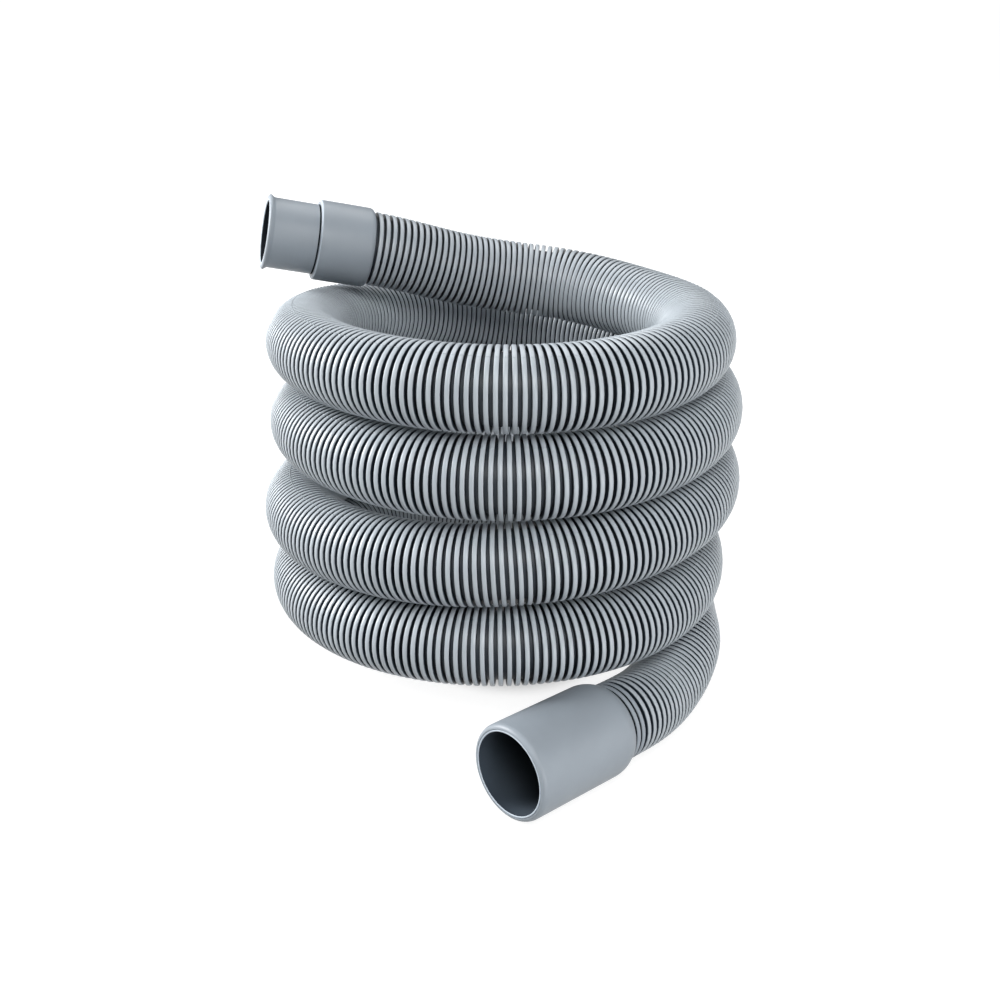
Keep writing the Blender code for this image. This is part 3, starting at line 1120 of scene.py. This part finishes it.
@dataclass
class ApplianceCuff(Cuff):
    """The stepped cuff for the machine's outlet: a flared lip, a plain spigot and a thicker collar.

    Each rounding is given as its length along the cuff and its height, and so are the edges at the mouth and
    at the step that get a painted highlight. collar_crown has places behind the step, and how far the
    collar's top lies below its radius there. The flare's hollow runs through flare_arc, in degrees.
    """

    mouth_radius: float = 11.2 * MM
    mouth_rounding: tuple[float, float] = (0.35 * MM, 0.3 * MM)
    mouth_faces: int = 4
    mouth_highlight: tuple[float, float] = (0.3 * MM, 0.6 * MM)
    lead_in: float = 2.8 * MM
    lead_in_start: tuple[float, float] = (0.8 * MM, 0.15 * MM)
    flare_radius: float = 13.6 * MM
    flare_length: float = 2.3 * MM
    flare_rounding: float = 0.9 * MM
    flare_hollow: float = 1.4
    flare_arc: tuple[float, float] = (15, 90)
    flare_points: int = 6
    spigot_radius: float = 12.7 * MM
    spigot_length: float = 18.6 * MM
    groove_width: float = 0.55 * MM
    groove_depth: float = 0.7 * MM
    groove_slope: float = 0.06 * MM
    collar_radius: float = 14.6 * MM
    collar_foot: float = 0.1 * MM
    collar_edge: tuple[float, float] = (0.75 * MM, 0.9 * MM)
    collar_crown: tuple[tuple[float, float], ...] = (
        (1.2 * MM, 0.04 * MM), (1.7 * MM, 0.01 * MM), (3 * MM, 0.0),
    )
    step_highlight: tuple[float, float] = (0.55 * MM, 0.8 * MM)
    rear_rounding: tuple[float, float] = (2.0 * MM, 1.6 * MM)
    faces: int = 7
    fine: float = 0.05 * MM

    def outside(self) -> Section:
        """The rounded mouth, the flare, the spigot, the beaded step, the collar and its rounded rear.

        Returns:
            Their points, from the mouth to the cuff's end.
        """
        flare, spigot, step = self.flare_radius, self.spigot_radius, self.spigot_length
        top, end, soft = self.collar_radius, self.place.length, self.flare_rounding
        mouth, rear = CornerFacing.MOUTH, CornerFacing.REAR
        reach, rise = self.mouth_rounding
        section = corner(reach, self.mouth_radius + rise, reach, -rise, mouth, self.mouth_faces)[::-1]
        section += corner(soft, flare - soft, soft, soft, mouth, self.faces)
        for sine in np.sin(np.radians(np.linspace(*self.flare_arc, self.flare_points))):
            along = soft + self.fine + (self.flare_length - soft) * sine
            section.append((along, spigot + (flare - spigot) * (1 - sine) ** self.flare_hollow))
        wall, floor = step - self.groove_width, spigot - self.groove_depth
        section += [(0.5 * step, spigot), (wall, spigot), (wall + self.groove_slope, floor), (step, floor)]
        section += [(step, spigot + self.collar_foot)]
        reach, rise = self.collar_edge
        section += corner(step + reach, top - rise - self.fine, reach, rise, mouth, self.faces)
        section += [(step + behind, top - drop) for behind, drop in self.collar_crown]
        section += [(0.5 * (step + end), top)]
        reach, rise = self.rear_rounding
        return section + corner(end - reach, top - rise, reach, rise, rear, self.faces)

    def on_painted_highlight(self, along: float, out: float) -> bool:
        """Whether a point lies on the mouth's rim or on the collar's front edge, which get a painted
        highlight.

        Args:
            along: its place along the cuff.
            out: its distance from the axis.

        Returns:
            True where it does.
        """
        reach, rise = self.mouth_highlight
        at_mouth = along < reach and 0 < out - self.mouth_radius < rise
        reach, rise = self.step_highlight
        return at_mouth or (0 < along - self.spigot_length < reach and out > self.collar_radius - rise)

    def in_groove(self, along: float, out: float) -> bool:
        """Whether a point lies in the groove between the spigot and the collar."""
        return out < self.spigot_radius - 0.5 * self.groove_depth and along > 0.5 * self.spigot_length

    def inside(self) -> Section:
        """The straight bore, with a short lead-in at the mouth.

        Returns:
            Its points, from the hose to the mouth.
        """
        start, narrower = self.lead_in_start
        bore = self.neck.bore_radius
        section = [(0.6 * self.place.length, bore), (self.lead_in, bore)]
        return section + [(start, self.mouth_radius - narrower)]


# The room


@dataclass(frozen=True)
class Lamp:
    """A soft square lamp: where it hangs, how wide it is, and its power in watts."""

    name: str
    place: tuple[float, float, float]
    size: float
    watts: float

    def hang(self, target: tuple[float, float, float]) -> None:
        """Hangs the lamp, facing the target.

        Args:
            target: the place that it faces.
        """
        data = bpy.data.lights.new(self.name, "AREA")
        data.size = self.size
        data.energy = self.watts
        lamp = link(self.name, data)
        lamp.location = self.place
        lamp.rotation_euler = (Vector(target) - Vector(self.place)).to_track_quat("-Z", "Y").to_euler()


@dataclass(frozen=True)
class Studio:
    """The camera, the pale floor, the soft lamps and the white room."""

    camera_place: tuple[float, float, float] = (-0.30018609, -0.30702427, 0.27464043)
    camera_turn: tuple[float, float, float] = (62.57993, -7.14452, -40.01208)
    lens: float = 46.3234
    sensor: float = 36.0
    floor_size: float = 12.0
    floor_finish: FloorFinish = FloorFinish()
    room_light: float = 0.06
    lamp_target: tuple[float, float, float] = (0.0, 0.0, 0.07)
    lamps: tuple[Lamp, ...] = (
        Lamp("lamp_behind", (0.3, 0.41, 0.97), 0.75, 5.6),
        Lamp("lamp_left", (-0.6, 0.78, 0.35), 0.45, 17.5),
        Lamp("lamp_right", (0.72, -0.62, 0.24), 0.5, 1.8),
        Lamp("lamp_front_right", (-0.1, -0.8, 0.15), 0.3, 2.6),
        Lamp("lamp_front", (-0.42, -0.47, 0.68), 0.4, 5.2),
    )

    def camera(self) -> None:
        """Sets the camera at the photograph's viewing angle."""
        data = bpy.data.cameras.new("camera")
        data.lens = self.lens
        data.sensor_width = self.sensor
        camera = link("camera", data)
        camera.location = self.camera_place
        camera.rotation_euler = [np.radians(angle) for angle in self.camera_turn]
        bpy.context.scene.camera = camera

    def floor(self, height: float) -> None:
        """Lays the floor.

        Args:
            height: the lowest point of the part, which stands on it.
        """
        half = self.floor_size / 2
        corners = [(x * half, y * half, height) for x, y in ((-1, -1), (1, -1), (1, 1), (-1, 1))]
        mesh = bpy.data.meshes.new("floor")
        mesh.from_pydata(corners, [], [(0, 1, 2, 3)])
        mesh.materials.append(self.floor_finish.material())
        link("floor", mesh)

    def room(self) -> None:
        """Gives the room its soft light, its lamps, and a white background to the camera."""
        world = bpy.data.worlds.new("room")
        bpy.context.scene.world = world
        world.use_nodes = True
        graph = Graph(world.node_tree)
        seen = graph.add("ShaderNodeLightPath").outputs["Is Camera Ray"]
        strength = graph.remap(seen, (0, 1), (self.room_light, 1))
        light = graph.add("ShaderNodeBackground", {"Color": (1, 1, 1, 1), "Strength": strength})
        graph.add("ShaderNodeOutputWorld", {"Surface": light.outputs[0]})
        for lamp in self.lamps:
            lamp.hang(self.lamp_target)

    def view(self) -> None:
        """Keeps the colours as they are written."""
        bpy.context.scene.view_settings.view_transform = "Standard"


# All together


def declare(piece: bpy.types.Object, slot: str, *nodes: str) -> None:
    """Puts a finished piece on the part's body, in the place of the solid that it stands for.

    Args:
        piece: the piece.
        slot: not used.
        nodes: the solids that it replaces.
    """
    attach(piece, "root")
    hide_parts(*nodes)
    LOG.info("%s: %d faces", piece.name, len(piece.data.polygons))


def main() -> None:
    """Builds the camera, the hose, the cuffs and the room, and puts each piece on the part's body in place of
    the solids that it stands for.
    """
    studio, finishes, route = Studio(), FinishSet(), HoseRoute()
    studio.camera()
    hose = RibbedHose(route, finishes)
    wall, *ribs = hose.build()
    drain = DrainCuff(route, finishes, "wide_drain_cuff", route.drain).build()
    appliance = ApplianceCuff(route, finishes, "stepped_appliance_cuff", route.appliance).build()
    for piece in (wall, *ribs):
        declare(piece, "hose_plastic", "corrugated_hose")
    declare(drain, "cuff_plastic", "drain_cuff")
    declare(appliance, "cuff_plastic", "appliance_cuff")
    pieces = (wall, *ribs, drain, appliance)
    lowest = min(vertex.co.z for piece in pieces for vertex in piece.data.vertices)
    studio.floor(min(0.0, lowest))
    studio.room()
    studio.view()
    LOG.info("hose: %.4f m, floor at %.5f m", hose.length, lowest)


if __name__ == "__main__":
    logging.basicConfig(level=logging.INFO, format="%(message)s")
    main()
